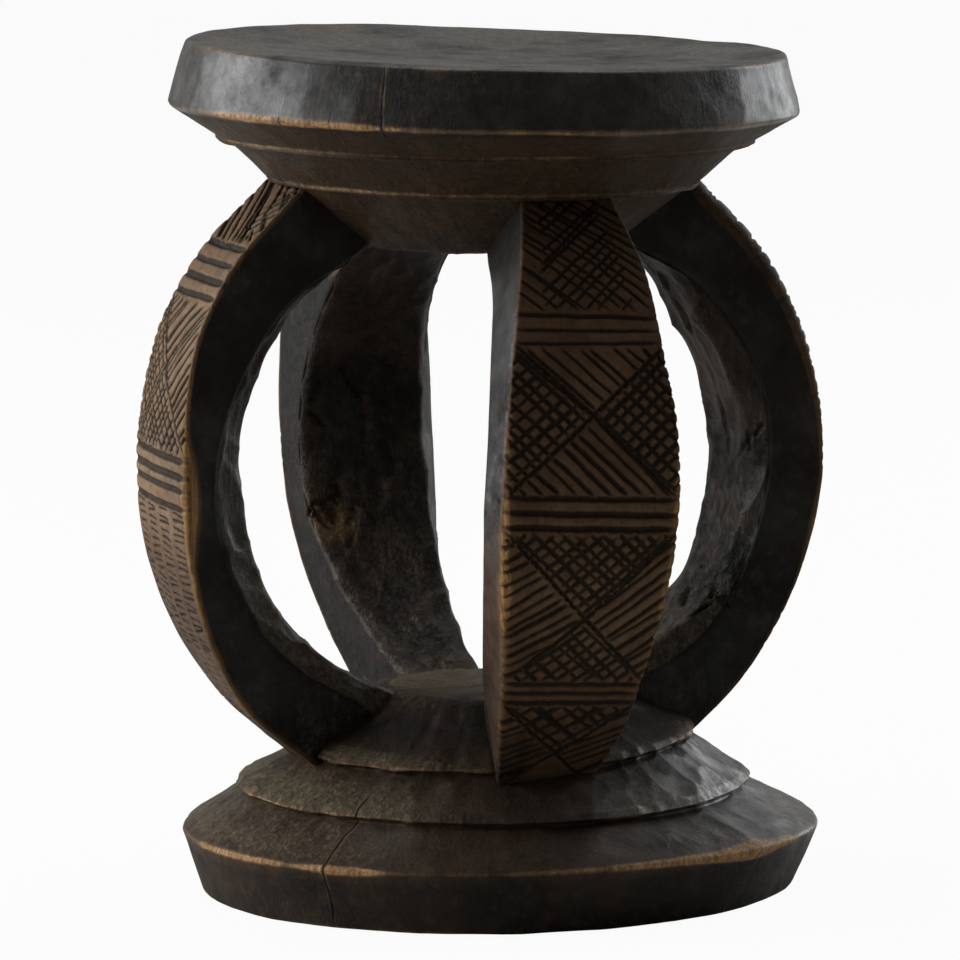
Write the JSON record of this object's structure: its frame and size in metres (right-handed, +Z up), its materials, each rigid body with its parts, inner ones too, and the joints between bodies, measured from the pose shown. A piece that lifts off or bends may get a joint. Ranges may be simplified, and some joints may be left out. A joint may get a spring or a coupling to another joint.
{
  "type": "carved wooden stool",
  "caption": "Round carved hardwood stool: dished seat and stepped foot joined by bowed ribs with incised hatched panels round an open cage.",
  "frame": {"origin": "centre of the foot's flat underside, on the floor", "axes": "+Z up through the foot's centre to the seat; -Y towards the front rib; +X towards the right rib, seen from the front"},
  "size_m": [0.3202, 0.3204, 0.4029],
  "materials": {
    "dark_wood": "old dark patina, worn to bare wood along the arrises",
    "carved_faces": "dark patina, brown and incised on the outer faces, rough-hewn behind"
  },
  "bodies": {
    "root": {"seat_disc": "dark_wood", "seat_cone": "dark_wood", "seat_neck": "dark_wood", "rib_front": "carved_faces", "rib_right": "carved_faces", "rib_back": "carved_faces", "rib_left": "carved_faces", "base_neck": "dark_wood", "base_cone": "dark_wood", "base_foot": "dark_wood"}
  },
  "joints": []
}
